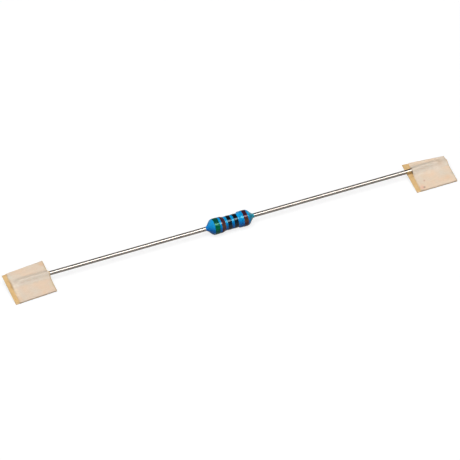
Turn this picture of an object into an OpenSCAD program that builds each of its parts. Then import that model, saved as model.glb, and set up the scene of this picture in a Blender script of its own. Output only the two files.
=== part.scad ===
// Axial metal film resistor, still held at both ends by the pieces of tape that kept it on its reel.
// The leads lie along X, +Z is up, and the origin is at the middle of the body, on the axis of the leads.
// It lies as it comes to rest: on the two bulges of its body and on the near edges of its tape tabs.

/* [Ceramic rod and film] */
// Diameter of the ceramic rod
core_d = 1.6; // [1.2:0.1:2.4]
// Length of the ceramic rod
core_l = 5.2; // [4.6:0.1:6]
// Chamfer at each end of the rod
core_chamfer = 0.08; // [0.04:0.01:0.15]
// Thickness that stands for the resistive film
film_t = 0.03; // [0.02:0.005:0.05]
// Turns of the groove that trims the film
groove_turns = 5; // [3:1:6]
// Width of the trimming groove
groove_w = 0.1; // [0.06:0.01:0.14]
// Plain film left between the groove and each cap
groove_margin = 0.25; // [0.1:0.05:0.4]

/* [End caps] */
// Wall of the pressed caps
cap_wall = 0.17; // [0.12:0.01:0.22]
// Depth to which a cap covers the rod
cap_skirt = 1.25; // [0.9:0.05:1.5]
// Radius round the closed end of a cap
cap_edge_r = 0.28; // [0.2:0.01:0.3]

/* [Leads] */
// Diameter of the tinned copper wire
lead_d = 0.58; // [0.45:0.01:0.7]
// Chamfer that the shears leave on a tip
tip_chamfer = 0.06; // [0.02:0.01:0.12]
// How far the weld bead on the cap stands out round the wire
bead_w = 0.16; // [0.08:0.01:0.22]
// Length of the weld bead
bead_l = 0.14; // [0.08:0.01:0.2]

/* [Coating] */
// Lacquer over the film
waist_t = 0.13; // [0.08:0.01:0.16]
// Lacquer over the caps
coat_t = 0.1; // [0.06:0.01:0.14]
// Length over which the coating rises to the left cap
left_rise = 0.75; // [0.25:0.05:0.8]
// Length over which the coating rises to the right cap
right_rise = 0.3; // [0.25:0.05:0.8]
// Length over which the coating falls from each bulge to the lead
fall_l = 1.11; // [1.05:0.01:1.2]

/* [Colour bands] */
// Thickness of the printed ink
ink_t = 0.02; // [0.015:0.005:0.04]
// From the end of the left cap to the middle of the first band
first_inset = 0.67; // [0.55:0.01:0.75]
// Width of the first band
first_w = 0.7; // [0.4:0.02:0.74]
// Distance between the middles of the first four bands
band_pitch = 0.93; // [0.82:0.01:1]
// Width of the second to fifth bands
band_w = 0.58; // [0.3:0.02:0.6]
// From the end of the right cap to the middle of the fifth band
last_inset = 0.69; // [0.6:0.01:0.9]

/* [Tape tabs] */
// Clear length between the two strips of tape
tape_gap = 52.4; // [51:0.1:53]
// Width of the back tape
tape_w = 6; // [5.5:0.1:6.5]
// Width of the front tape
front_w = 5.45; // [5:0.05:6]
// Thickness of the back tape, with its glue
back_t = 0.14; // [0.1:0.01:0.2]
// Thickness of the front tape
front_t = 0.13; // [0.1:0.01:0.2]
// Radius of the fillet in which the front tape comes down beside a lead
drape_r = 1.1; // [0.6:0.05:1.2]
// How far the left lead stops short of the tape's outer edge
left_short = 1.85; // [0.75:0.05:2.2]
// How far the right lead stops short of the tape's outer edge
right_short = 1.7; // [0.05:0.05:2.2]
// Length past a lead's tip over which the front tape sinks
settle_l = 1.1; // [0.8:0.05:1.2]
// Height that the left front tape's ridge sinks to, as a share of its height over the lead
left_hump = 0.15; // [0.1:0.05:0.6]
// Height that the right front tape's ridge sinks to, as a share of its height over the lead
right_hump = 0.4; // [0.1:0.05:0.6]
// From the lead to the upper cut of the left tab, at its outer corner
left_far_out = 1.96; // [1.3:0.02:2.6]
// From the lead to the upper cut of the left tab, at its inner corner
left_far_in = 2.45; // [1.3:0.02:2.6]
// From the lead to the lower cut of the left tab, at its outer corner
left_near_out = 3.14; // [2.6:0.02:3.8]
// From the lead to the lower cut of the left tab, at its inner corner
left_near_in = 2.82; // [2.6:0.02:3.8]
// From the lead to the upper cut of the right tab, at its inner corner
right_far_in = 1.6; // [1.06:0.02:2.6]
// From the lead to the upper cut of the right tab, at its outer corner
right_far_out = 1.06; // [1.06:0.02:2.6]
// From the lead to the lower cut of the right tab, at its inner corner
right_near_in = 3.54; // [2.6:0.02:3.8]
// From the lead to the lower cut of the right tab, at its outer corner
right_near_out = 3.5; // [2.6:0.02:3.8]
// How much wider the right front tape is at its lower cut than at its upper one
front_lean = 0.4; // [0:0.05:0.6]

/* [Hidden] */
$fn = 64;

left = -1;
right = 1;

core_r = core_d / 2;
film_r = core_r + film_t;
film_l = core_l - 2 * core_chamfer;
cap_r = film_r + cap_wall;
cap_end = core_l / 2 + cap_wall;
cap_mouth = core_l / 2 - cap_skirt;
cap_l = cap_skirt + cap_wall;
lead_r = lead_d / 2;
waist_r = film_r + waist_t;
bulge_r = cap_r + coat_t;

// The groove's cutter stands this much proud of both faces of the film
groove_over = 0.02;
groove_steps = 24;
groove_end = cap_mouth - groove_margin;

// Points along each curved stretch of an outline
curve_steps = 8;

// A cap's mouth lies this far up the coating's rise, and the fall to the lead starts before the cap ends
mouth_share = 0.8;
nose_inset = 0.36;
nose_start = cap_end - nose_inset;
coat_end = nose_start + fall_l;

first_x = first_inset - cap_end;
last_x = cap_end - last_inset;

tape_in = tape_gap / 2;
tape_out = tape_in + tape_w;
fillet_y = 2 * sqrt(lead_r * drape_r);
drape_a = atan2(drape_r - lead_r, fillet_y);
drape_step = (90 - drape_a) / curve_steps;
bed_z = -lead_r;
// The blanks that the tabs are cut from reach a tape's width each way, past every cut
blank = tape_w;
// The cuts that end a tab: place along the leads, then distance below and above the lead
left_cuts = [[-tape_out, left_near_out, left_far_out], [-tape_in, left_near_in, left_far_in]];
right_cuts = [[tape_in, right_near_in, right_far_in], [tape_out, right_near_out, right_far_out]];

function reversed(points) = [for (i = [len(points) - 1 : -1 : 0]) points[i]];

// Turns a half section, drawn as radius against distance along the leads, into a solid round the X axis
module turned() {
    rotate([0, 90, 0])
        rotate_extrude()
            children();
}

// Puts a half section that is drawn for the right end at the left or the right end
module at_end(side) {
    mirror([0, side == left ? 1 : 0])
        children();
}

module ceramic_core() {
    color("ivory")
        turned()
            polygon([[0, -core_l / 2], [core_r - core_chamfer, -core_l / 2], [core_r, -film_l / 2],
                     [core_r, film_l / 2], [core_r - core_chamfer, core_l / 2], [0, core_l / 2]]);
}

// The corner of the groove's cutter: k goes round its square section, i along the helix
function groove_point(i, k) =
    let (a = 360 * i / groove_steps,
         r = k < 2 ? core_r - groove_over : film_r + groove_over,
         x = groove_end * (2 * i / (groove_steps * groove_turns) - 1),
         side = k == 0 || k == 3 ? -groove_w / 2 : groove_w / 2)
    [x + side, r * cos(a), r * sin(a)];

module groove() {
    last = groove_steps * groove_turns;
    end = 4 * last;
    points = [for (i = [0 : last]) for (k = [0 : 3]) groove_point(i, k)];
    walls = [for (i = [0 : last - 1]) for (k = [0 : 3])
        let (a = 4 * i + k, b = 4 * i + (k + 1) % 4)
        each [[a, b + 4, b], [a, a + 4, b + 4]]];
    polyhedron(points, concat([[0, 1, 2, 3]], walls, [[end + 3, end + 2, end + 1, end]]));
}

// The film covers the rod from chamfer to chamfer. The helical groove lengthens its path between the caps.
module metal_film() {
    color("dimgray")
        difference() {
            turned()
                translate([core_r, -film_l / 2])
                    square([film_t, film_l]);
            groove();
        }
}

// Outside of the right cap, closed down to the axis
module cap_outside() {
    translate([0, cap_mouth])
        square([cap_r, cap_l - cap_edge_r]);
    translate([0, cap_mouth])
        square([cap_r - cap_edge_r, cap_l]);
    translate([cap_r - cap_edge_r, cap_end - cap_edge_r])
        intersection() {
            circle(cap_edge_r);
            square(cap_edge_r);
        }
}

module cap(side) {
    color("silver")
        turned()
            at_end(side)
                difference() {
                    cap_outside();
                    square([film_r, core_l / 2]);
                }
}

// Half section of a lead: a hollow-sided weld bead on the cap, then plain wire to the sheared tip
module lead_section(tip) {
    bead = [for (i = [0 : curve_steps])
        let (a = 90 * i / curve_steps)
        [lead_r + bead_w * (1 - sin(a)), cap_end + bead_l * (1 - cos(a))]];
    polygon(concat([[0, cap_end]], bead,
                   [[lead_r, tip - tip_chamfer], [lead_r - tip_chamfer, tip], [0, tip]]));
}

module lead(side, short) {
    color("gainsboro")
        turned()
            at_end(side)
                lead_section(tape_out - short);
}

// The coating climbs from the waist to a bulge along half a cosine wave, from x0 at t = 0
function rise_points(side, length) =
    [for (i = [0 : curve_steps])
        let (t = i / curve_steps, wave = (1 - cos(180 * t)) / 2)
        [waist_r + (bulge_r - waist_r) * wave, side * (cap_mouth + length * (t - mouth_share))]];

// It falls to the lead along another, round over the cap's shoulder, then hollow, and thins to nothing
function fall_points(side) =
    [for (i = [0 : 2 * curve_steps])
        let (t = i / (2 * curve_steps), wave = (1 + cos(180 * t)) / 2)
        [lead_r + (bulge_r - lead_r) * wave, side * (nose_start + fall_l * t)]];

function coat_half(side, length) = concat(rise_points(side, length), fall_points(side));

// Outside of the coating from left to right, as radius and place along the leads
coat_outline = concat(reversed(coat_half(left, left_rise)), coat_half(right, right_rise));

function coat_r(x) = lookup(x, [for (p = coat_outline) [p[1], p[0]]]);

module coating() {
    color("dodgerblue")
        turned()
            difference() {
                polygon(concat([[0, -coat_end]], coat_outline, [[0, coat_end]]));
                translate([0, -core_l / 2])
                    square([film_r, core_l]);
                for (side = [left, right])
                    at_end(side) {
                        cap_outside();
                        lead_section(tape_out);
                    }
            }
}

// A ring of ink that follows the coating's outside between two places along the body
module band(middle, width) {
    from = middle - width / 2;
    to = middle + width / 2;
    seat = concat([[coat_r(from), from]],
                  [for (p = coat_outline) if (p[1] > from && p[1] < to) p],
                  [[coat_r(to), to]]);
    turned()
        polygon(concat(seat, reversed([for (p = seat) p + [ink_t, 0]])));
}

module band_1_green() {
    color("darkgreen")
        band(first_x, first_w);
}

module band_2_brown() {
    color("saddlebrown")
        band(first_x + band_pitch, band_w);
}

module band_3_black() {
    color("#1b1c1e")
        band(first_x + 2 * band_pitch, band_w);
}

module band_4_black() {
    color("#1b1c1e")
        band(first_x + 3 * band_pitch, band_w);
}

module band_5_brown() {
    color("saddlebrown")
        band(last_x, band_w);
}

// Tilt at which a tab's longest reach puts its lower edge on the plane that the bulges lie on
function rest_tilt(reach) =
    let (drop = lead_r + back_t)
    asin((bulge_r + ink_t) / norm([reach, drop])) - atan2(drop, reach);

function near_at(cuts, x) = lookup(x, [for (c = cuts) [c[0], c[1]]]);
function far_at(cuts, x) = lookup(x, [for (c = cuts) [c[0], c[2]]]);

// One side of the front tape's fall, from the bed up to the top of the lead, at a distance off its inside.
// Its straight steps round the lead lie outside the wire and touch it at their middles.
function drape_side(off) = concat(
    [for (i = [0 : curve_steps])
        let (a = 270 - drape_step * i)
        [fillet_y + (drape_r - off) * cos(a), bed_z + drape_r + (drape_r - off) * sin(a)]],
    [for (i = [0 : curve_steps - 1])
        let (a = drape_a + drape_step * (i + 0.5), r = (lead_r + off) / cos(drape_step / 2))
        [r * cos(a), r * sin(a)]]);

function drape(off) =
    let (side = drape_side(off))
    concat([for (p = side) [-p[0], p[1]]], reversed(side));

// One face of the front tape as points across the lead, from -Y to +Y
function across(off) = concat([[-blank, bed_z + off]], drape(off), [[blank, bed_z + off]]);

// The same face at one place along the lead, with its ridge sunk to a share of its height
function sunk(x, off, share) =
    [for (p = across(off)) [x, p[0], bed_z + off + (p[1] - bed_z - off) * share]];

// Front tape: it lies flat on the back tape, folds over the wire, and sinks past the wire's tip.
// Each place along it lists the underside and then the top side. A half turn makes the left one.
module front_sheet(side, tip, hump) {
    over = [tape_in - blank, 1];
    sinking = [for (i = [0 : curve_steps])
        let (t = i / curve_steps, wave = (1 - cos(180 * t)) / 2)
        [tip + settle_l * t, 1 - (1 - hump) * wave]];
    places = concat([over], sinking, [[tape_out + blank, hump]]);
    n = len(across(0));
    last = 2 * n * (len(places) - 1);
    points = [for (p = places) each concat(sunk(p[0], 0, p[1]), sunk(p[0], front_t, p[1]))];
    faces = [for (j = [0 : len(places) - 2]) for (i = [0 : n - 2])
        let (a = 2 * n * j + i, b = a + 2 * n)
        each [[a, b + 1, a + 1], [a, b, b + 1], [a + n, a + n + 1, b + n + 1], [a + n, b + n + 1, b + n]]];
    edges = [for (j = [0 : len(places) - 2])
        let (a = 2 * n * j, b = a + 2 * n, c = a + n - 1, d = c + 2 * n)
        each [[a, a + n, b + n, b], [c, d, d + n, c + n]]];
    ends = [for (i = [0 : n - 2])
        each [[i, i + 1, i + n + 1, i + n], [last + i, last + i + n, last + i + n + 1, last + i + 1]]];
    rotate([0, 0, side == left ? 180 : 0])
        polyhedron(points, concat(faces, edges, ends));
}

module back_sheet() {
    translate([-tape_out - blank, -blank, bed_z - back_t])
        cube([2 * (tape_out + blank), 2 * blank, back_t]);
}

// Tilts a sheet of tape about the lead and trims it to the two cuts, so that both tapes end in one line.
// Its inner edge can lean, which makes it shorter at the upper cut than at the lower one.
module tab(cuts, x_left, x_right, lean = 0) {
    top_x = x_left + lean;
    rotate([rest_tilt(max(cuts[0][1], cuts[1][1])), 0, 0])
        intersection() {
            children();
            translate([0, 0, -blank])
                linear_extrude(2 * blank)
                    polygon([[x_left, -near_at(cuts, x_left)], [x_right, -near_at(cuts, x_right)],
                             [x_right, far_at(cuts, x_right)], [top_x, far_at(cuts, top_x)]]);
        }
}

module tape_left_back() {
    color("khaki")
        tab(left_cuts, -tape_out, -tape_in)
            back_sheet();
}

module tape_left_front() {
    color("bisque")
        tab(left_cuts, -tape_in - front_w, -tape_in)
            front_sheet(left, tape_out - left_short, left_hump);
}

module tape_right_back() {
    color("khaki")
        tab(right_cuts, tape_in, tape_out)
            back_sheet();
}

module tape_right_front() {
    color("bisque")
        tab(right_cuts, tape_out - front_w, tape_out, front_lean)
            front_sheet(right, tape_out - right_short, right_hump);
}

ceramic_core();
metal_film();
cap(left);  // cap_left
cap(right);  // cap_right
lead(left, left_short);  // lead_left
lead(right, right_short);  // lead_right
coating();
band_1_green();
band_2_brown();
band_3_black();
band_4_black();
band_5_brown();
tape_left_back();
tape_left_front();
tape_right_back();
tape_right_front();
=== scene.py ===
import math

import bmesh
import bpy
from mathutils import Matrix, Vector, noise


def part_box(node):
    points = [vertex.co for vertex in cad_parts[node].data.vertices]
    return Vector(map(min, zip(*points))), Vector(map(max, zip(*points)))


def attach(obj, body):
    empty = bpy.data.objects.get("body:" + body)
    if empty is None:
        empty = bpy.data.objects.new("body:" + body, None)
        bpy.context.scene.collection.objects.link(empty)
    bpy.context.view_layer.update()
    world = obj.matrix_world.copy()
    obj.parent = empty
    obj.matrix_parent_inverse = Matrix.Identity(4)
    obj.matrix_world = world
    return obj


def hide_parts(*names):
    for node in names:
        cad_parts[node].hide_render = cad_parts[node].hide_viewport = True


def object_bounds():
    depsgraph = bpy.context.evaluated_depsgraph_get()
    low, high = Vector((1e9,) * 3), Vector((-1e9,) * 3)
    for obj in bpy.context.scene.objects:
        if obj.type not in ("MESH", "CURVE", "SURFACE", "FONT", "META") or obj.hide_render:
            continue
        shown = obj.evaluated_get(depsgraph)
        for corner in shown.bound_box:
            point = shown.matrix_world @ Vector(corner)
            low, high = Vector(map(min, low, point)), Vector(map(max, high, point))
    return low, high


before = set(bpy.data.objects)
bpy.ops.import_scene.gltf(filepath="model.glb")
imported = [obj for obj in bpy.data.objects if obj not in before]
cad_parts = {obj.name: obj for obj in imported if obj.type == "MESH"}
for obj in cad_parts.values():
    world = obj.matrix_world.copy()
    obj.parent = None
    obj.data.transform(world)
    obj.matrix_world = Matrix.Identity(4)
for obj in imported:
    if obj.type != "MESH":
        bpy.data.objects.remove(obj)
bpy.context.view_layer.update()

# ---------------------------------------------------------------------------------------------------------
# Ceramic rod
# A rod of alumina that carries everything else. It is pressed, fired and tumbled, so it is a matt off-white
# with a fine grain. The film and the lacquer hide it, and its solid is the CAD one.

# The scene is in metres, and the sizes of the real piece are written in millimetres
MM = 0.001
PER_MM = 1 / MM


def linear(code):
    """The linear colour of an sRGB hex code such as "#0A64B4"."""
    values = [int(code[i:i + 2], 16) / 255 for i in (1, 3, 5)]
    return tuple(v / 12.92 if v <= 0.04045 else ((v + 0.055) / 1.055) ** 2.4 for v in values) + (1.0,)


def add(tree, kind, inputs=None, out=0, **settings):
    """Adds a node, gives its inputs a value or the socket that feeds them, and returns one output."""
    node = tree.nodes.new(kind)
    for name, value in settings.items():
        setattr(node, name, value)
    for name, value in (inputs or {}).items():
        if isinstance(value, bpy.types.NodeSocket):
            tree.links.new(value, node.inputs[name])
        else:
            node.inputs[name].default_value = value
    return node.outputs[out] if node.outputs else None


def begin(name):
    """A new material, its node tree, and the place on the object that its patterns follow."""
    material = bpy.data.materials.new(name)
    material.use_nodes = True
    material.node_tree.nodes.clear()
    return material, material.node_tree, add(material.node_tree, "ShaderNodeTexCoord", out="Object")


def dress(node, material):
    """Gives a CAD solid that stays in the scene its finish."""
    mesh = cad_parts[node].data
    mesh.materials.clear()
    mesh.materials.append(material)


def fired_alumina():
    """Fired alumina: a dense, matt, off-white ceramic with a grain of about 0.06 mm."""
    material, tree, place = begin("fired_alumina")
    grain = add(tree, "ShaderNodeTexNoise", {"Vector": place, "Scale": PER_MM / 0.06, "Detail": 3.0})
    colour = add(tree, "ShaderNodeMix", {0: grain, 6: linear("#DDD8C8"), 7: linear("#F0EDE2")}, 2,
                 data_type="RGBA")
    rough = add(tree, "ShaderNodeMapRange", {"Value": grain, "To Min": 0.5, "To Max": 0.75})
    relief = add(tree, "ShaderNodeBump", {"Height": grain, "Distance": 0.004 * MM})
    shader = add(tree, "ShaderNodeBsdfPrincipled",
                 {"Base Color": colour, "Roughness": rough, "Normal": relief, "IOR": 1.76})
    add(tree, "ShaderNodeOutputMaterial", {"Surface": shader})
    return material


dress("ceramic_core", fired_alumina())

# ---------------------------------------------------------------------------------------------------------
# Metal film
# The resistive layer: nickel-chromium, sputtered on to the rod and cut into a helix by a laser. It is thin,
# grey and slightly dull, and it keeps the CAD solid with its trimmed groove.


def sputtered_alloy():
    """Sputtered nickel-chromium: a thin grey metal that takes on the rod's grain."""
    material, tree, place = begin("sputtered_alloy")
    grain = add(tree, "ShaderNodeTexNoise", {"Vector": place, "Scale": PER_MM / 0.08, "Detail": 3.0})
    colour = add(tree, "ShaderNodeMix", {0: grain, 6: linear("#6A665F"), 7: linear("#8E8A83")}, 2,
                 data_type="RGBA")
    rough = add(tree, "ShaderNodeMapRange", {"Value": grain, "To Min": 0.3, "To Max": 0.5})
    relief = add(tree, "ShaderNodeBump", {"Height": grain, "Distance": 0.002 * MM})
    shader = add(tree, "ShaderNodeBsdfPrincipled",
                 {"Base Color": colour, "Roughness": rough, "Normal": relief, "Metallic": 1.0})
    add(tree, "ShaderNodeOutputMaterial", {"Surface": shader})
    return material


dress("metal_film", sputtered_alloy())

# ---------------------------------------------------------------------------------------------------------
# End caps
# Two cups pressed from thin tinned steel and forced on to the rod's ends, where they grip the film. Drawing
# leaves fine lines along their walls. The lacquer covers them, and their solids are the CAD ones.


def drawn_steel():
    """Tinned deep-drawn steel: bright, with lines about 0.05 mm apart in the direction of the draw."""
    material, tree, place = begin("drawn_steel")
    along = add(tree, "ShaderNodeMapping", {"Vector": place, "Scale": (0.08, 1.0, 1.0)})
    lines = add(tree, "ShaderNodeTexNoise", {"Vector": along, "Scale": PER_MM / 0.05, "Detail": 2.0})
    colour = add(tree, "ShaderNodeMix", {0: lines, 6: linear("#9C9993"), 7: linear("#C3C0BA")}, 2,
                 data_type="RGBA")
    rough = add(tree, "ShaderNodeMapRange", {"Value": lines, "To Min": 0.22, "To Max": 0.45})
    relief = add(tree, "ShaderNodeBump", {"Height": lines, "Distance": 0.003 * MM})
    shader = add(tree, "ShaderNodeBsdfPrincipled",
                 {"Base Color": colour, "Roughness": rough, "Normal": relief, "Metallic": 1.0})
    add(tree, "ShaderNodeOutputMaterial", {"Surface": shader})
    return material


CAP_STEEL = drawn_steel()
dress("cap_left", CAP_STEEL)
dress("cap_right", CAP_STEEL)

# ---------------------------------------------------------------------------------------------------------
# Leads
# Copper wire with a thin coat of tin, butt-welded to the caps. A die drew it, which leaves fine lines along
# it, and a blade sheared it off inside the tape. The weld leaves a small hollow-sided bead.

WIRE_R = 0.29 * MM
BEAD_W = 0.16 * MM
BEAD_L = 0.14 * MM
TIP_CHAMFER = 0.06 * MM
# Marks: place along and across the lead in mm, radius in mm, strength and colour
# Painted reflection: pale tan on the wire's near side where it crosses the back tape, standing in for that
# tape's reflection
PAINTED_STRIP_REFLECTION = [(26.15, -0.33, 0.2, 0.9, "#F0DAAC"), (26.4, -0.32, 0.2, 0.9, "#F0DAAC"),
              (26.7, -0.31, 0.2, 0.9, "#F0DAAC")]
RAGGED_MARK = 0.5 * MM
WIRE_SIDES = 64
CURVE_STEPS = 14
SHARP_ANGLE = math.radians(40)
# Points closer than this are one
MERGE = 1e-7


def quarter_turn(steps):
    """Angles from nothing to a right angle."""
    return [math.pi / 2 * i / steps for i in range(steps + 1)]


def finished(name, bm):
    """Makes a bmesh an object, with its faces outwards and its shading smooth up to the sharp edges."""
    bmesh.ops.recalc_face_normals(bm, faces=bm.faces)
    for face in bm.faces:
        face.smooth = True
    for edge in bm.edges:
        edge.smooth = edge.calc_face_angle(0) < SHARP_ANGLE
    mesh = bpy.data.meshes.new(name)
    bm.to_mesh(mesh)
    bm.free()
    piece = bpy.data.objects.new(name, mesh)
    bpy.context.scene.collection.objects.link(piece)
    return piece


def spun(outline, sides, closed=False):
    """Spins an outline, given as distances along X and radii, round the X axis."""
    bm = bmesh.new()
    verts = [bm.verts.new((x, 0, r)) for x, r in outline]
    pairs = list(zip(verts, verts[1:])) + ([(verts[-1], verts[0])] if closed else [])
    edges = [bm.edges.new(pair) for pair in pairs]
    bmesh.ops.spin(bm, geom=verts + edges, cent=(0, 0, 0), axis=(1, 0, 0), dvec=(0, 0, 0),
                   angle=2 * math.pi, steps=sides, use_merge=True, use_duplicate=False)
    bmesh.ops.remove_doubles(bm, verts=bm.verts, dist=MERGE)
    return bm


def set_in_place(piece, slot, node, *materials):
    """Gives a piece its finish, hangs it under the root, and hides the CAD solid that it stands for."""
    for material in materials:
        piece.data.materials.append(material)
    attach(piece, "root")
    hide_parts(node)


def marked(tree, place, ragged, base, marks):
    """Lays marks with torn outlines over a colour, seen straight down on the lead."""
    level = add(tree, "ShaderNodeMapping", {"Vector": place, "Scale": (1.0, 1.0, 0.0)})
    for x, y, radius, strength, tint in marks:
        away = add(tree, "ShaderNodeVectorMath", {0: level, 1: (x * MM, y * MM, 0)}, "Value",
                   operation="DISTANCE")
        torn = add(tree, "ShaderNodeMath", {0: ragged, 1: RAGGED_MARK, 2: away}, operation="MULTIPLY_ADD")
        share = add(tree, "ShaderNodeMapRange",
                    {"Value": torn, "From Min": RAGGED_MARK / 2 + radius * MM, "From Max": RAGGED_MARK / 2,
                     "To Max": strength}, interpolation_type="SMOOTHSTEP")
        base = add(tree, "ShaderNodeMix", {0: share, 6: base, 7: linear(tint)}, 2, data_type="RGBA")
    return base


def tinned_copper():
    """Tinned copper wire: soft grey, with drawing lines, small dark pits and a painted reflection of the
    tan tape.
    """
    material, tree, place = begin("tinned_copper")
    along = add(tree, "ShaderNodeMapping", {"Vector": place, "Scale": (0.02, 1.0, 1.0)})
    lines = add(tree, "ShaderNodeTexNoise", {"Vector": along, "Scale": PER_MM / 0.05, "Detail": 2.0})
    dull = add(tree, "ShaderNodeTexNoise", {"Vector": place, "Scale": PER_MM / 1.8, "Detail": 3.0})
    pits = add(tree, "ShaderNodeTexNoise", {"Vector": place, "Scale": PER_MM / 0.12, "Detail": 1.0})
    tin = add(tree, "ShaderNodeMix", {0: dull, 6: linear("#979089"), 7: linear("#A9A29B")}, 2,
              data_type="RGBA")
    pitted = add(tree, "ShaderNodeMapRange",
                 {"Value": pits, "From Min": 0.66, "From Max": 0.74, "To Max": 0.6})
    worn = add(tree, "ShaderNodeMix", {0: pitted, 6: tin, 7: linear("#6C6259")}, 2, data_type="RGBA")
    # Lays the painted reflection of the tan tape over the tin
    colour = marked(tree, place, dull, worn, PAINTED_STRIP_REFLECTION)
    rough = add(tree, "ShaderNodeMapRange", {"Value": dull, "To Min": 0.24, "To Max": 0.36})
    relief = add(tree, "ShaderNodeBump", {"Height": lines, "Distance": 0.001 * MM})
    shader = add(tree, "ShaderNodeBsdfPrincipled",
                 {"Base Color": colour, "Roughness": rough, "Normal": relief, "Metallic": 1.0,
                  "Specular Tint": linear("#8A8078")})
    add(tree, "ShaderNodeOutputMaterial", {"Surface": shader})
    return material


def wire(name, node, side):
    """A lead from its weld bead on the cap to its sheared tip."""
    low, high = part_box(node)
    start, tip = sorted((abs(low.x), abs(high.x)))
    outline = [(start, 0)]
    outline += [(start + BEAD_L * (1 - math.cos(a)), WIRE_R + BEAD_W * (1 - math.sin(a)))
                for a in quarter_turn(CURVE_STEPS)]
    outline += [(tip - TIP_CHAMFER, WIRE_R), (tip, WIRE_R - TIP_CHAMFER), (tip, 0)]
    return finished(name, spun([(side * x, r) for x, r in outline], WIRE_SIDES))


TIN = tinned_copper()
set_in_place(wire("wire_left", "lead_left", -1), "lead_tin", "lead_left", TIN)
set_in_place(wire("wire_right", "lead_right", 1), "lead_tin", "lead_right", TIN)

# ---------------------------------------------------------------------------------------------------------
# Lacquer
# Blue epoxy lacquer, rolled on in several wet coats and baked. It lies thin over the waist and bulges over
# the caps, and it draws out on to the wires. It is glossy, with a faint orange peel and one small drip.

CAP_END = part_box("cap_right")[1].x
CAP_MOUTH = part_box("cap_right")[0].x
CAP_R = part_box("cap_right")[1].z
CAP_EDGE = 0.28 * MM
CAP_EDGE_STEPS = 4
FILM_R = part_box("metal_film")[1].z
COAT_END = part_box("coating")[1].x
BULGE_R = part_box("coating")[1].z
WAIST_T = 0.13 * MM
WAIST_R = FILM_R + WAIST_T
LEFT_RISE = 0.75 * MM
RIGHT_RISE = 0.3 * MM
MOUTH_SHARE = 0.8
FALL_L = 1.11 * MM
FALL_START = COAT_END - FALL_L
COAT_SIDES = 128
# The waist and the bulges are divided evenly, and the rises' own stations take over where they begin
WAIST_STEPS = 12
WAIST_LAST = 8
BULGE_STEPS = 8
BULGE_FIRST = 3
# How uneven the coat is, how far apart its highs and lows are, and how fast that fades at its two ends
SAG = 0.02 * MM
SAG_SPAN = 0.9 * MM
SAG_FADE = 0.4 * MM
DRIP = Vector((1.2 * MM, -0.66 * MM, -0.73 * MM))
DRIP_H = 0.09 * MM
DRIP_W = 0.13 * MM
# Where the lacquer runs thin along the right end, and the heights of the painted shade underneath
THIN_FROM = 2.3 * MM
THIN_TO = 3.2 * MM
LACQUER_SHADE_FROM = 0.95 * MM
LACQUER_SHADE_TO = -0.05 * MM


def coat_radius(x):
    """Radius of the lacquer's outside: a wave up from the waist to a cap, and one down to the wire."""
    rise = LEFT_RISE if x < 0 else RIGHT_RISE
    climb = min(max((abs(x) - CAP_MOUTH) / rise + MOUTH_SHARE, 0), 1)
    fall = min(max((abs(x) - FALL_START) / FALL_L, 0), 1)
    crest = WAIST_R + (BULGE_R - WAIST_R) * (1 - math.cos(math.pi * climb)) / 2
    return WIRE_R + (crest - WIRE_R) * (1 + math.cos(math.pi * fall)) / 2


def sagged(spot):
    """Moves a point on the lacquer out or in, because the wet coat didn't dry perfectly even."""
    across = Vector((0, spot.y, spot.z))
    shift = SAG * noise.noise(spot / SAG_SPAN) * min((COAT_END - abs(spot.x)) / SAG_FADE, 1)
    shift += DRIP_H * math.exp(-((spot - DRIP).length / DRIP_W) ** 2)
    return spot + across.normalized() * shift


def coat_stations():
    """Places along the body, closer together where the outline curves, rounded so that like ones merge."""
    half = {FALL_START + FALL_L * i / (2 * CURVE_STEPS) for i in range(2 * CURVE_STEPS + 1)}
    for rise in (LEFT_RISE, RIGHT_RISE):
        foot = CAP_MOUTH - rise * MOUTH_SHARE
        half |= {foot + rise * i / CURVE_STEPS for i in range(CURVE_STEPS + 1)}
    half |= {CAP_MOUTH * i / WAIST_STEPS for i in range(WAIST_LAST + 1)}
    half |= {CAP_MOUTH + (FALL_START - CAP_MOUTH) * i / BULGE_STEPS
             for i in range(BULGE_FIRST, BULGE_STEPS)}
    return sorted({round(side * x, 8) for x in half for side in (-1, 1)})


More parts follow.
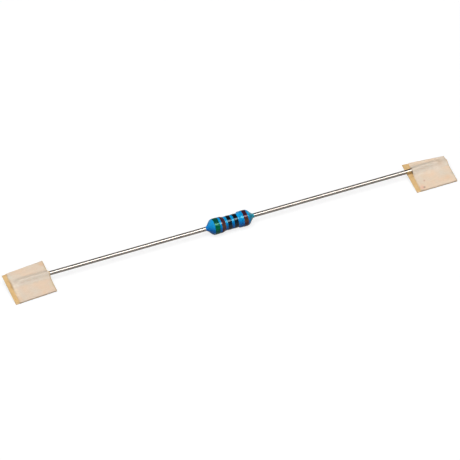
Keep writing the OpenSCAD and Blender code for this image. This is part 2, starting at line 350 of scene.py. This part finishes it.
def epoxy_lacquer():
    """Baked epoxy lacquer: blue gloss, painted shade underneath, greener where it runs thin at the right
    end.
    """
    material, tree, place = begin("epoxy_lacquer")
    depth = add(tree, "ShaderNodeTexNoise", {"Vector": place, "Scale": PER_MM / 1.3, "Detail": 2.0})
    peel = add(tree, "ShaderNodeTexNoise", {"Vector": place, "Scale": PER_MM / 0.16, "Detail": 1.0})
    specks = add(tree, "ShaderNodeTexNoise", {"Vector": place, "Scale": PER_MM / 0.07, "Detail": 1.0})
    along = add(tree, "ShaderNodeSeparateXYZ", {"Vector": place}, "X")
    height = add(tree, "ShaderNodeSeparateXYZ", {"Vector": place}, "Z")
    thin = add(tree, "ShaderNodeMapRange", {"Value": along, "From Min": THIN_FROM, "From Max": THIN_TO},
               interpolation_type="SMOOTHSTEP")
    upper = add(tree, "ShaderNodeMix", {0: depth, 6: linear("#0094DA"), 7: linear("#00A2E6")}, 2,
                data_type="RGBA")
    # Painted shade: the underside turns a deeper blue below these heights
    painted_underside_shade = add(tree, "ShaderNodeMapRange", {"Value": height, "From Min": LACQUER_SHADE_FROM, "From Max": LACQUER_SHADE_TO},
                interpolation_type="SMOOTHSTEP")
    body = add(tree, "ShaderNodeMix", {0: painted_underside_shade, 6: upper, 7: linear("#0068C6")}, 2, data_type="RGBA")
    ends = add(tree, "ShaderNodeMix", {0: thin, 6: body, 7: linear("#00A0BA")}, 2, data_type="RGBA")
    dust = add(tree, "ShaderNodeMapRange",
               {"Value": specks, "From Min": 0.7, "From Max": 0.76, "To Max": 0.5})
    colour = add(tree, "ShaderNodeMix", {0: dust, 6: ends, 7: linear("#00649E")}, 2, data_type="RGBA")
    rough = add(tree, "ShaderNodeMapRange", {"Value": peel, "To Min": 0.14, "To Max": 0.26})
    relief = add(tree, "ShaderNodeBump", {"Height": peel, "Distance": 0.004 * MM})
    shader = add(tree, "ShaderNodeBsdfPrincipled",
                 {"Base Color": colour, "Roughness": rough, "Normal": relief, "IOR": 1.43,
                  "Specular Tint": linear("#AAFFDA")})
    add(tree, "ShaderNodeOutputMaterial", {"Surface": shader})
    return material


def lacquer_shell():
    """The lacquer as one closed shell that fits the film, the caps and the wires inside it."""
    cavity = [(COAT_END, WIRE_R), (CAP_END + BEAD_L, WIRE_R), (CAP_END, WIRE_R + BEAD_W)]
    cavity += [(CAP_END - CAP_EDGE * (1 - math.cos(a)), CAP_R - CAP_EDGE * (1 - math.sin(a)))
               for a in quarter_turn(CAP_EDGE_STEPS)]
    cavity += [(CAP_MOUTH, CAP_R), (CAP_MOUTH, FILM_R)]
    cavity += [(-x, r) for x, r in reversed(cavity)]
    outside = [(x, coat_radius(x)) for x in coat_stations()[1:-1]]
    bm = spun(outside + cavity, COAT_SIDES, closed=True)
    for vert in bm.verts:
        if math.hypot(vert.co.y, vert.co.z) > coat_radius(vert.co.x) - MERGE:
            vert.co = sagged(vert.co)
    return finished("lacquer", bm)


set_in_place(lacquer_shell(), "lacquer_blue", "coating", epoxy_lacquer())

# ---------------------------------------------------------------------------------------------------------
# Colour bands
# Five rings of ink that a printing wheel lays on the turning body: green, brown, black, black, then brown
# set apart as the tolerance band. The ink stands a little proud, with round shoulders and uneven edges.

INK_T = 0.02 * MM
INK_ROOT = 0.005 * MM
EDGE_WANDER = 0.03 * MM
# How fast an edge wanders round the body, and how far apart the two edges' noise is read
WANDER_RATE = 2.2
EDGES_APART = 4
# The crown is flat across its middle and falls off at its shoulders, as this power of the way out
CROWN_POWER = 5
RING_STEPS = 14
# Heights between which painted shade darkens the ink on top, with a ragged start, and underneath
INK_RAGGED = 0.5 * MM
TOP_SHADE_FROM = 0.6 * MM
TOP_SHADE_TO = 1.2 * MM
UNDER_INK_SHADE_FROM = 0.5 * MM
UNDER_INK_SHADE_TO = -0.1 * MM


def printed_ink(name, shaded_ink, open_ink, thin, sheen):
    """Printed epoxy ink: glossy, with thin spots, and darker on top and underneath by painted shade."""
    material, tree, place = begin(name)
    depth = add(tree, "ShaderNodeTexNoise", {"Vector": place, "Scale": PER_MM / 0.5, "Detail": 3.0})
    spots = add(tree, "ShaderNodeTexNoise", {"Vector": place, "Scale": PER_MM / 0.09, "Detail": 2.0})
    height = add(tree, "ShaderNodeSeparateXYZ", {"Vector": place}, "Z")
    ragged = add(tree, "ShaderNodeMath", {0: depth, 1: INK_RAGGED, 2: height}, operation="MULTIPLY_ADD")
    upper = add(tree, "ShaderNodeMapRange", {"Value": ragged, "From Min": TOP_SHADE_FROM, "From Max": TOP_SHADE_TO},
                interpolation_type="SMOOTHSTEP")
    under = add(tree, "ShaderNodeMapRange", {"Value": height, "From Min": UNDER_INK_SHADE_FROM, "From Max": UNDER_INK_SHADE_TO},
                interpolation_type="SMOOTHSTEP")
    # Painted shade: the ink's darker tone on top and underneath
    painted_ink_shade = add(tree, "ShaderNodeMath", {0: upper, 1: under}, operation="MAXIMUM")
    body = add(tree, "ShaderNodeMix", {0: painted_ink_shade, 6: linear(open_ink), 7: linear(shaded_ink)}, 2, data_type="RGBA")
    bare = add(tree, "ShaderNodeMapRange",
               {"Value": spots, "From Min": 0.62, "From Max": 0.75, "To Max": 0.5})
    colour = add(tree, "ShaderNodeMix", {0: bare, 6: body, 7: linear(thin)}, 2, data_type="RGBA")
    rough = add(tree, "ShaderNodeMapRange", {"Value": spots, "To Min": 0.12, "To Max": 0.24})
    relief = add(tree, "ShaderNodeBump", {"Height": spots, "Distance": 0.003 * MM})
    shader = add(tree, "ShaderNodeBsdfPrincipled",
                 {"Base Color": colour, "Roughness": rough, "Normal": relief, "IOR": 1.43,
                  "Specular Tint": linear(sheen)})
    add(tree, "ShaderNodeOutputMaterial", {"Surface": shader})
    return material


def ink_ring(name, node, seed):
    """A ring of ink on the lacquer, whose two edges wander a little round the body, as its seed has it."""
    low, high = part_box(node)
    middle, half = (low.x + high.x) / 2, (high.x - low.x) / 2
    shares = [math.sin(math.pi * (i / RING_STEPS - 0.5)) for i in range(RING_STEPS + 1)]
    crown = [(middle + half * s, INK_T * (1 - abs(s) ** CROWN_POWER)) for s in shares]
    root = [(middle + half * s, -INK_ROOT) for s in reversed(shares)]
    bm = spun([(x, coat_radius(x) + above) for x, above in crown + root], COAT_SIDES, closed=True)
    for vert in bm.verts:
        above = math.hypot(vert.co.y, vert.co.z) - coat_radius(vert.co.x)
        turn = Vector((0, vert.co.y, vert.co.z)).normalized()
        share = (vert.co.x - middle) / half
        edge = Vector((seed + math.copysign(EDGES_APART, share), 0, 0))
        x = vert.co.x + EDGE_WANDER * share ** 3 * noise.noise(turn * WANDER_RATE + edge)
        vert.co = sagged(Vector((x, 0, 0)) + turn * coat_radius(x)) + turn * above
    return finished(name, bm)


# Each ink's first colour is its painted shade on top and underneath
GREEN_INK = printed_ink("green_ink", "#00513F", "#007443", "#007A70", "#A0FFCC")
BROWN_INK = printed_ink("brown_ink", "#3B1627", "#664529", "#5E2A38", "#FFC4C4")
BLACK_INK = printed_ink("black_ink", "#030A12", "#0C2434", "#0A2236", "#D8F2FF")
set_in_place(ink_ring("ring_green", "band_1_green", 0), "ink_green", "band_1_green", GREEN_INK)
set_in_place(ink_ring("ring_brown_2", "band_2_brown", 10), "ink_brown", "band_2_brown", BROWN_INK)
set_in_place(ink_ring("ring_black_3", "band_3_black", 20), "ink_black", "band_3_black", BLACK_INK)
set_in_place(ink_ring("ring_black_4", "band_4_black", 30), "ink_black", "band_4_black", BLACK_INK)
set_in_place(ink_ring("ring_brown_5", "band_5_brown", 40), "ink_brown", "band_5_brown", BROWN_INK)

# ---------------------------------------------------------------------------------------------------------
# Back tapes
# The strip that lies under the leads: paper with a coat of tan rubber glue on its upper side, which the
# narrower front tape leaves bare along one edge. A snip across the belt cut it to length, a little askew.

BACK_T = 0.14 * MM
BED = -WIRE_R
TAPE_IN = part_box("tape_right_back")[0].x
TAPE_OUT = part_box("tape_right_back")[1].x
# Each cut: its place along the leads, then its distance on the near side and on the far side of the lead
LEFT_CUTS = [(-TAPE_OUT, 3.14 * MM, 1.96 * MM), (-TAPE_IN, 2.82 * MM, 2.45 * MM)]
RIGHT_CUTS = [(TAPE_IN, 3.54 * MM, 1.6 * MM), (TAPE_OUT, 3.5 * MM, 1.06 * MM)]
CELL = 0.06 * MM
# The snip frays the paper this far, this often per mm, and only near the cut, as a power of the way out
FRAY = 0.03 * MM
FRAYS_PER_MM = 1.7
FRAY_POWER = 9
# It presses the rim thinner, over this width and by this share, but not on the ridge over the lead
RIM_W = 0.2 * MM
RIM_SHARE = 0.6
RIDGE_HALF = 2 * WIRE_R
# A face of the snip points along Y at least this much
SNIPPED = 0.9
# Painted shadows on the bare glue, next to where the front tape's edges stand on it
PAINTED_EDGE_SHADOWS = [(-31.72, -0.2, 0.3, 0.7, "#C08A54"), (26.85, -0.8, 0.25, 0.6, "#A87C4C")]


def reach(cuts, x):
    """How far the tape runs to the near side and to the far side of a lead, at a place along it."""
    (x0, near0, far0), (x1, near1, far1) = cuts
    share = (x - x0) / (x1 - x0)
    return near0 + (near1 - near0) * share, far0 + (far1 - far0) * share


def rest_tilt(cuts):
    """The tilt at which a tab's near edge lies on the plane that the body lies on."""
    longest, drop = max(cuts[0][1], cuts[1][1]), WIRE_R + BACK_T
    return math.asin((BULGE_R + INK_T) / math.hypot(longest, drop)) - math.atan2(drop, longest)


def tape_sheet(name, cuts, start, end, lean, thickness, height):
    """A sheet between slit edges and cuts. Its underside follows a height, and its rim is pressed thin."""
    bm = bmesh.new()
    pressed = bm.verts.layers.float.new("pressed")
    bmesh.ops.create_grid(bm, x_segments=round((end - start) / CELL),
                          y_segments=round((cuts[0][1] + cuts[0][2]) / CELL), size=1)
    for vert in bm.verts:
        along, across = (vert.co.x + 1) / 2, (vert.co.y + 1) / 2
        x = start + (end - start) * along + lean * across ** 2 * (1 - along)
        near, far = reach(cuts, x)
        fray = FRAY * noise.noise(Vector((x * PER_MM * FRAYS_PER_MM, start * PER_MM, 0)))
        y = -near + (near + far) * across + fray * abs(2 * across - 1) ** FRAY_POWER
        vert.co = (x, y, height(x, y))
        rim = min(min(along, 1 - along) * (end - start), min(across, 1 - across) * (near + far))
        off_ridge = min(abs(y) / RIDGE_HALF, 1)
        vert[pressed] = RIM_SHARE * max(1 - rim / RIM_W, 0) ** 2 * off_ridge
    bmesh.ops.solidify(bm, geom=bm.faces[:], thickness=-thickness)
    bmesh.ops.recalc_face_normals(bm, faces=bm.faces)
    for vert in bm.verts:
        if vert.normal.z > 0:
            vert.co.z -= thickness * vert[pressed]
    for face in bm.faces:
        # The cuts face along Y, and so do the flanks of a ridge, but those lie close to the lead
        at_cut = abs(face.calc_center_median().y) > RIDGE_HALF
        face.material_index = int(abs(face.normal.y) > SNIPPED and at_cut)
    bmesh.ops.rotate(bm, verts=bm.verts, cent=(0, 0, 0), matrix=Matrix.Rotation(rest_tilt(cuts), 3, "X"))
    return finished(name, bm)


def glued_paper():
    """Paper with its glue up: tan and half glossy, mottled, with caught fibres and painted edge shadows."""
    material, tree, place = begin("glued_paper")
    blotch = add(tree, "ShaderNodeTexNoise", {"Vector": place, "Scale": PER_MM / 0.6, "Detail": 3.0})
    across = add(tree, "ShaderNodeMapping", {"Vector": place, "Scale": (1.0, 0.25, 1.0)})
    fibre = add(tree, "ShaderNodeTexNoise", {"Vector": across, "Scale": PER_MM / 0.11, "Detail": 3.0})
    patch = add(tree, "ShaderNodeMapRange", {"Value": blotch, "From Min": 0.3, "From Max": 0.7})
    glue = add(tree, "ShaderNodeMix", {0: patch, 6: linear("#E2B876"), 7: linear("#F5D197")}, 2,
               data_type="RGBA")
    base = marked(tree, place, blotch, glue, PAINTED_EDGE_SHADOWS)
    colour = add(tree, "ShaderNodeMix", {0: fibre, 6: base, 7: linear("#D6AF77")}, 2, data_type="RGBA")
    rough = add(tree, "ShaderNodeMapRange", {"Value": blotch, "To Min": 0.35, "To Max": 0.65})
    relief = add(tree, "ShaderNodeBump", {"Height": fibre, "Distance": 0.02 * MM})
    shader = add(tree, "ShaderNodeBsdfPrincipled",
                 {"Base Color": colour, "Roughness": rough, "Normal": relief, "IOR": 1.47})
    add(tree, "ShaderNodeOutputMaterial", {"Surface": shader})
    return material


def snipped_edge(name, shaded_cut, lit_cut, fibres):
    """The cut face of the tapes: packed paper fibre, painted paler against its shade, with patches of
    painted shade.
    """
    material, tree, place = begin(name)
    fibre = add(tree, "ShaderNodeTexNoise", {"Vector": place, "Scale": PER_MM / 0.08, "Detail": 3.0})
    cut_shade_patches = add(tree, "ShaderNodeTexNoise", {"Vector": place, "Scale": PER_MM / 0.6, "Detail": 2.0})
    share = add(tree, "ShaderNodeMapRange", {"Value": cut_shade_patches, "From Min": 0.35, "From Max": 0.5})
    base = add(tree, "ShaderNodeMix", {0: share, 6: linear(shaded_cut), 7: linear(lit_cut)}, 2, data_type="RGBA")
    colour = add(tree, "ShaderNodeMix", {0: fibre, 6: base, 7: linear(fibres)}, 2, data_type="RGBA")
    rough = add(tree, "ShaderNodeMapRange", {"Value": fibre, "To Min": 0.8, "To Max": 0.95})
    relief = add(tree, "ShaderNodeBump", {"Height": fibre, "Distance": 0.02 * MM})
    shader = add(tree, "ShaderNodeBsdfPrincipled",
                 {"Base Color": colour, "Roughness": rough, "Normal": relief, "IOR": 1.47})
    add(tree, "ShaderNodeOutputMaterial", {"Surface": shader})
    return material


def flat_bed(x, y):
    """Height of the back tape's underside, which is flat."""
    return BED - BACK_T


GLUED = glued_paper()
# The cut faces' tones are painted: the pale one lifts their shade, and the dark one paints shade in patches
LEFT_EDGE = snipped_edge("snipped_edge_left", "#BEAC96", "#F2E2CA", "#E2D2BA")
RIGHT_EDGE = snipped_edge("snipped_edge_right", "#A89880", "#FFF4E0", "#F4E6CE")
set_in_place(tape_sheet("back_tape_left", LEFT_CUTS, -TAPE_OUT, -TAPE_IN, 0, BACK_T, flat_bed),
             "tape_back", "tape_left_back", GLUED, LEFT_EDGE)
set_in_place(tape_sheet("back_tape_right", RIGHT_CUTS, TAPE_IN, TAPE_OUT, 0, BACK_T, flat_bed),
             "tape_back", "tape_right_back", GLUED, RIGHT_EDGE)

# ---------------------------------------------------------------------------------------------------------
# Front tapes
# Thin crepe paper laid over the leads and pressed down on the back tape's glue. It folds over the wire in a
# soft ridge, has creases beside it, and lifts a little from the back tape along the near cut.

FRONT_T = 0.13 * MM
FRONT_W = 5.45 * MM
FRONT_LEAN = 0.4 * MM
DRAPE_R = 1.1 * MM
SETTLE_L = 1.1 * MM
LEFT_TIP = -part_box("lead_left")[0].x
RIGHT_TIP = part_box("lead_right")[1].x
LEFT_HUMP = 0.15
RIGHT_HUMP = 0.4
# Creases run with the lead: this many per mm along it and across it
CREASE_H = 0.02 * MM
CREASES_ALONG = 0.5
CREASES_ACROSS = 1.6
# The lift comes and goes this much faster than the creases, and is up for more of the way than not
LIFT_H = 0.035 * MM
LIFT_W = 0.5 * MM
LIFT_RATE = 2.3
LIFT_BIAS = 0.4


def drape(y):
    """Height of the front tape's underside across a lead: over the wire, then out in a fillet."""
    y = abs(y)
    foot = 2 * math.sqrt(WIRE_R * DRAPE_R)
    tangent = foot * WIRE_R / (WIRE_R + DRAPE_R)
    if y < tangent:
        return math.sqrt(WIRE_R ** 2 - y ** 2)
    if y < foot:
        return BED + DRAPE_R - math.sqrt(DRAPE_R ** 2 - (foot - y) ** 2)
    return BED


def pressed_down(cuts, tip, hump):
    """The drape, sunk past the wire's tip, with faint creases along the lead and a lift at the near cut."""

    def height(x, y):
        """Height of the front tape's underside at a place along and across the lead."""
        past = min(max((abs(x) - tip) / SETTLE_L, 0), 1)
        share = 1 - (1 - hump) * (1 - math.cos(math.pi * past)) / 2
        spot = Vector((x * PER_MM * CREASES_ALONG, y * PER_MM * CREASES_ACROSS, cuts[0][0] * PER_MM))
        crease = CREASE_H * max(noise.noise(spot), 0)
        edge = max(1 - (reach(cuts, x)[0] + y) / LIFT_W, 0)
        lift = LIFT_H * edge ** 2 * max(noise.noise(spot * LIFT_RATE) + LIFT_BIAS, 0)
        return BED + (drape(y) - BED) * share + crease + lift

    return height


# How far from the lead painted shade greys the ridge, from its ragged outside to where it is full
RIDGE_SHADE_RAGGED = 0.3 * MM
RIDGE_SHADE_OUT = 1.05 * MM
RIDGE_SHADE_IN = 0.65 * MM
# A painted highlight lies in a line on the ridge's near side, this far from the lead's middle
HIGHLIGHT_AT = 0.38 * MM
HIGHLIGHT_OUT = 0.3 * MM
HIGHLIGHT_IN = 0.1 * MM
# How far in from each slit edge the painted edge shadow reaches
EDGE_SHADE_W = 0.25 * MM
# Marks: place along and across the lead in mm, radius in mm, strength and colour. Those at x -26.2 are
# painted shade along the inner edge.
LEFT_STAINS_AND_SHADE = [(-31.4, -1.0, 0.5, 0.5, "#FFEACB"), (-31.4, -1.7, 0.5, 0.5, "#FFE6C8"),
               (-31.4, 1.2, 0.5, 0.7, "#E4E0D2"), (-26.6, 1.9, 0.5, 0.6, "#EFC08E"),
               (-26.2, -1.6, 0.8, 0.5, "#DECB9E"), (-27.9, -2.5, 0.35, 0.5, "#EDBE98"),
               (-27.3, -2.7, 0.4, 0.7, "#DCCFC8"), (-31.4, -2.5, 0.6, 0.4, "#F0C79C"),
               (-26.2, 0.9, 0.6, 0.5, "#DAD0AE"), (-28.2, -0.75, 0.4, 0.3, "#CFC2B2")]
# Those at y -0.4 to -0.8 are painted light on the ridge's near flank; those at x 32.1 are painted shadow
# along the outer edge
RIGHT_STAINS_LIGHT_AND_SHADE = [(30.9, 0.1, 1.3, 0.7, "#F8DDC2"), (30.2, -0.4, 0.6, 0.5, "#FFF2E2"),
                (28.0, -0.8, 0.6, 0.6, "#F6E7D6"), (29.2, -0.8, 0.7, 0.6, "#F6E7D6"),
                (30.5, -0.7, 0.7, 0.7, "#F6E7D6"), (27.2, -3.0, 0.6, 0.8, "#F2B8A0"),
                (27.45, -3.05, 0.3, 1.0, "#8A6C66"), (27.9, -2.0, 0.22, 0.8, "#CFA084"),
                (28.1, -1.3, 0.6, 0.3, "#E9C7A0"), (31.2, -2.5, 0.7, 0.5, "#F0C79C"),
                (32.1, -0.6, 0.35, 0.6, "#C9BFB0"), (32.1, -2.0, 0.4, 0.6, "#C9BFB0")]


def crepe_paper(name, middle, pale, warm, threads, edge_shades, stains_light_and_shade):
    """Crepe paper tape: pinkish beige, with cross ridges 0.15 mm apart, fibres, faint stains and painted
    light and shade. Painted shade greys it over the lead, a painted highlight lies along that ridge's near
    side, and a painted shadow tints its left and its right slit edge tan, in the two edge colours."""
    material, tree, place = begin(name)
    stain = add(tree, "ShaderNodeTexNoise", {"Vector": place, "Scale": PER_MM / 1.6, "Detail": 3.0})
    along = add(tree, "ShaderNodeMapping", {"Vector": place, "Scale": (0.3, 1.0, 1.0)})
    fibre = add(tree, "ShaderNodeTexNoise", {"Vector": along, "Scale": PER_MM / 0.1, "Detail": 3.0})
    across = add(tree, "ShaderNodeMapping", {"Vector": place, "Scale": (0.2, 1.0, 1.0)})
    ridges = add(tree, "ShaderNodeTexNoise", {"Vector": across, "Scale": PER_MM / 0.15, "Detail": 2.0})
    patch = add(tree, "ShaderNodeMapRange", {"Value": stain, "From Min": 0.35, "From Max": 0.65})
    paper = add(tree, "ShaderNodeMix", {0: patch, 6: linear(pale), 7: linear(warm)}, 2, data_type="RGBA")
    spread = add(tree, "ShaderNodeMapping", {"Vector": place, "Location": (-middle, 0, 0)})
    off_middle = add(tree, "ShaderNodeVectorMath", {0: spread}, operation="ABSOLUTE")
    from_middle = add(tree, "ShaderNodeSeparateXYZ", {"Vector": off_middle}, "X")
    from_lead = add(tree, "ShaderNodeSeparateXYZ", {"Vector": off_middle}, "Y")
    # Painted shade: greyer paper over the ridge
    ridge_shade_reach = add(tree, "ShaderNodeMath", {0: stain, 1: RIDGE_SHADE_RAGGED, 2: from_lead},
                  operation="MULTIPLY_ADD")
    thin = add(tree, "ShaderNodeMapRange",
               {"Value": ridge_shade_reach, "From Min": RIDGE_SHADE_OUT, "From Max": RIDGE_SHADE_IN},
               interpolation_type="SMOOTHSTEP")
    ridge_shaded = add(tree, "ShaderNodeMix", {0: thin, 6: paper, 7: linear("#E3D5C4")}, 2, data_type="RGBA")
    below = add(tree, "ShaderNodeMapping", {"Vector": place, "Location": (0, HIGHLIGHT_AT, 0)})
    off_crest = add(tree, "ShaderNodeVectorMath", {0: below}, operation="ABSOLUTE")
    from_crest = add(tree, "ShaderNodeSeparateXYZ", {"Vector": off_crest}, "Y")
    # Painted highlight along the ridge's near flank
    painted_highlight = add(tree, "ShaderNodeMapRange",
                 {"Value": from_crest, "From Min": HIGHLIGHT_OUT, "From Max": HIGHLIGHT_IN, "To Max": 0.8},
                 interpolation_type="SMOOTHSTEP")
    crest = add(tree, "ShaderNodeMix", {0: painted_highlight, 6: ridge_shaded, 7: linear("#F0E3D3")}, 2, data_type="RGBA")
    # Painted shadow: a tan band along both slit edges, darker on the left tape's right edge
    slit = add(tree, "ShaderNodeMapRange",
               {"Value": from_middle, "From Min": FRONT_W / 2 - EDGE_SHADE_W, "From Max": FRONT_W / 2},
               interpolation_type="SMOOTHSTEP")
    end = add(tree, "ShaderNodeSeparateXYZ", {"Vector": spread}, "X")
    right_end = add(tree, "ShaderNodeMath", {0: end, 1: 0.0}, operation="GREATER_THAN")
    glue = add(tree, "ShaderNodeMix", {0: right_end, 6: linear(edge_shades[0]), 7: linear(edge_shades[1])}, 2,
               data_type="RGBA")
    edge_shaded = add(tree, "ShaderNodeMix", {0: slit, 6: crest, 7: glue}, 2, data_type="RGBA")
    base = marked(tree, place, stain, edge_shaded, stains_light_and_shade)
    fluff = add(tree, "ShaderNodeMapRange",
                {"Value": fibre, "From Min": 0.4, "From Max": 0.7, "To Max": 0.5})
    colour = add(tree, "ShaderNodeMix", {0: fluff, 6: base, 7: linear(threads)}, 2, data_type="RGBA")
    rough = add(tree, "ShaderNodeMapRange", {"Value": fibre, "To Min": 0.72, "To Max": 0.92})
    crinkle = add(tree, "ShaderNodeBump", {"Height": ridges, "Distance": 0.022 * MM})
    relief = add(tree, "ShaderNodeBump", {"Height": fibre, "Distance": 0.01 * MM, "Normal": crinkle})
    shader = add(tree, "ShaderNodeBsdfPrincipled",
                 {"Base Color": colour, "Roughness": rough, "Normal": relief, "IOR": 1.47,
                  "Specular IOR Level": 0.3})
    add(tree, "ShaderNodeOutputMaterial", {"Surface": shader})
    return material


CREPE_LEFT = crepe_paper("crepe_paper_left", -TAPE_IN - FRONT_W / 2, "#E6D6C4", "#ECD2B9", "#DFC7AB",
                         ("#DCC09A", "#C9A86F"), LEFT_STAINS_AND_SHADE)
CREPE_RIGHT = crepe_paper("crepe_paper_right", TAPE_OUT - FRONT_W / 2, "#ECDCC9", "#F5D9BD", "#E5CCAF",
                          ("#DCC09A", "#DCC09A"), RIGHT_STAINS_LIGHT_AND_SHADE)
set_in_place(tape_sheet("front_tape_left", LEFT_CUTS, -TAPE_IN - FRONT_W, -TAPE_IN, 0, FRONT_T,
                        pressed_down(LEFT_CUTS, LEFT_TIP, LEFT_HUMP)),
             "tape_front", "tape_left_front", CREPE_LEFT, LEFT_EDGE)
set_in_place(tape_sheet("front_tape_right", RIGHT_CUTS, TAPE_OUT - FRONT_W, TAPE_OUT, FRONT_LEAN, FRONT_T,
                        pressed_down(RIGHT_CUTS, RIGHT_TIP, RIGHT_HUMP)),
             "tape_front", "tape_right_front", CREPE_RIGHT, RIGHT_EDGE)

# ---------------------------------------------------------------------------------------------------------
# Table top
# The matt white surface that the resistor lies on. The eye sees it white with a soft shadow, and the gloss
# sees the pale sheet that the lamps light. It throws only a little light back at the part.

FLOOR_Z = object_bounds()[0].z
FLOOR_HALF = 1.5
FLOOR_GLOW = 0.78


def matt_white():
    """Matt white laminate: a plain white with no gloss of its own, which takes a soft shadow."""
    material, tree, place = begin("matt_white")
    camera_ray, gloss_ray, glass_ray = [add(tree, "ShaderNodeLightPath", out=f"Is {kind} Ray")
                                        for kind in ("Camera", "Glossy", "Transmission")]
    either = add(tree, "ShaderNodeMath", {0: camera_ray, 1: gloss_ray}, operation="MAXIMUM")
    seen = add(tree, "ShaderNodeMath", {0: either, 1: glass_ray}, operation="MAXIMUM")
    dull = add(tree, "ShaderNodeBsdfDiffuse", {"Color": linear("#606060")})
    tone = add(tree, "ShaderNodeMix", {0: gloss_ray, 6: linear("#909090"), 7: linear("#E0E0E0")}, 2,
               data_type="RGBA")
    card = add(tree, "ShaderNodeBsdfDiffuse", {"Color": tone})
    level = add(tree, "ShaderNodeMix", {0: gloss_ray, 2: FLOOR_GLOW, 3: 0.0})
    glow = add(tree, "ShaderNodeEmission", {"Color": linear("#FFFFFF"), "Strength": level})
    bright = add(tree, "ShaderNodeAddShader", {0: card, 1: glow})
    surface = add(tree, "ShaderNodeMixShader", {0: seen, 1: dull, 2: bright})
    add(tree, "ShaderNodeOutputMaterial", {"Surface": surface})
    return material


bm = bmesh.new()
bmesh.ops.create_grid(bm, x_segments=1, y_segments=1, size=FLOOR_HALF)
bmesh.ops.translate(bm, verts=bm.verts, vec=(0, 0, FLOOR_Z))
floor = finished("table_top", bm)
floor.data.materials.append(matt_white())

# ---------------------------------------------------------------------------------------------------------
# Light
# A wide soft box overhead that lights the part evenly, a smaller one on its near side that only its gloss
# shows, and a dim room round them. Its gloss also shows the room's pale walls, on both sides of a dark gap.


def soft_box(name, place, size, radiance, gloss):
    """A rectangular lamp that faces the part, for its gloss alone or for all the rest. Sizes in metres."""
    lamp = bpy.data.lights.new(name, "AREA")
    lamp.shape = "RECTANGLE"
    lamp.size, lamp.size_y = size
    lamp.energy = radiance * math.pi * size[0] * size[1]
    back = Vector(place).normalized()
    side = (Vector((1, 0, 0)) - back * back.x).normalized()
    holder = bpy.data.objects.new(name, lamp)
    holder.visible_glossy, holder.visible_diffuse = gloss, not gloss
    turn = Matrix((side, back.cross(side), back)).transposed().to_4x4()
    holder.matrix_world = Matrix.Translation(place) @ turn
    bpy.context.scene.collection.objects.link(holder)


soft_box("wide_box", (-0.13, -0.17, 0.545), (0.85, 0.65), 2.5, False)
soft_box("gloss_box", (0.14, -0.25, 0.53), (0.30, 0.24), 12.5, True)

ROOM = 0.12
WALLS = 0.85
# The gap's middle, then how far from it the gap ends and the walls are full, all as a direction's X
GAP_AT = 0.3
GAP_HALF = 0.2
WALLS_FROM = 0.45

room = bpy.data.worlds.new("room")
room.use_nodes = True
room.node_tree.nodes.clear()
toward = add(room.node_tree, "ShaderNodeTexCoord", out="Generated")
along_x = add(room.node_tree, "ShaderNodeSeparateXYZ", {"Vector": toward}, "X")
past_gap = add(room.node_tree, "ShaderNodeMath", {0: along_x, 1: GAP_AT}, operation="SUBTRACT")
from_gap = add(room.node_tree, "ShaderNodeMath", {0: past_gap}, operation="ABSOLUTE")
walls = add(room.node_tree, "ShaderNodeMapRange",
            {"Value": from_gap, "From Min": GAP_HALF, "From Max": WALLS_FROM,
             "To Min": ROOM, "To Max": WALLS})
gloss_ray = add(room.node_tree, "ShaderNodeLightPath", out="Is Glossy Ray")
camera_ray = add(room.node_tree, "ShaderNodeLightPath", out="Is Camera Ray")
lit = add(room.node_tree, "ShaderNodeMix", {0: gloss_ray, 2: ROOM, 3: walls})
seen = add(room.node_tree, "ShaderNodeMix", {0: camera_ray, 2: lit, 3: 1.0})
sky = add(room.node_tree, "ShaderNodeBackground", {"Color": linear("#FFFFFF"), "Strength": seen})
add(room.node_tree, "ShaderNodeOutputWorld", {"Surface": sky})
bpy.context.scene.world = room

# ---------------------------------------------------------------------------------------------------------
# Camera
# A long lens, a step to the left of the part and well above it, aimed just below the middle of the body.
# It sits nearly a metre away, so that it draws the part almost without perspective.

AZIMUTH = math.radians(-23.6)
ELEVATION = math.radians(40.6)
DISTANCE = 0.932
SENSOR_MM = 36
LENS_MM = 543.2087
AIM_SIDE = 0.063 * MM
AIM_UP = -1.046 * MM

back = Vector((math.sin(AZIMUTH) * math.cos(ELEVATION), -math.cos(AZIMUTH) * math.cos(ELEVATION),
               math.sin(ELEVATION)))
side = Vector((math.cos(AZIMUTH), math.sin(AZIMUTH), 0))
up = back.cross(side)
lens = bpy.data.cameras.new("camera")
lens.sensor_width = SENSOR_MM
lens.lens = LENS_MM
camera = bpy.data.objects.new("camera", lens)
turn = Matrix((side, up, back)).transposed().to_4x4()
camera.matrix_world = Matrix.Translation(side * AIM_SIDE + up * AIM_UP + back * DISTANCE) @ turn
bpy.context.scene.collection.objects.link(camera)
bpy.context.scene.camera = camera
bpy.context.scene.view_settings.view_transform = "Standard"
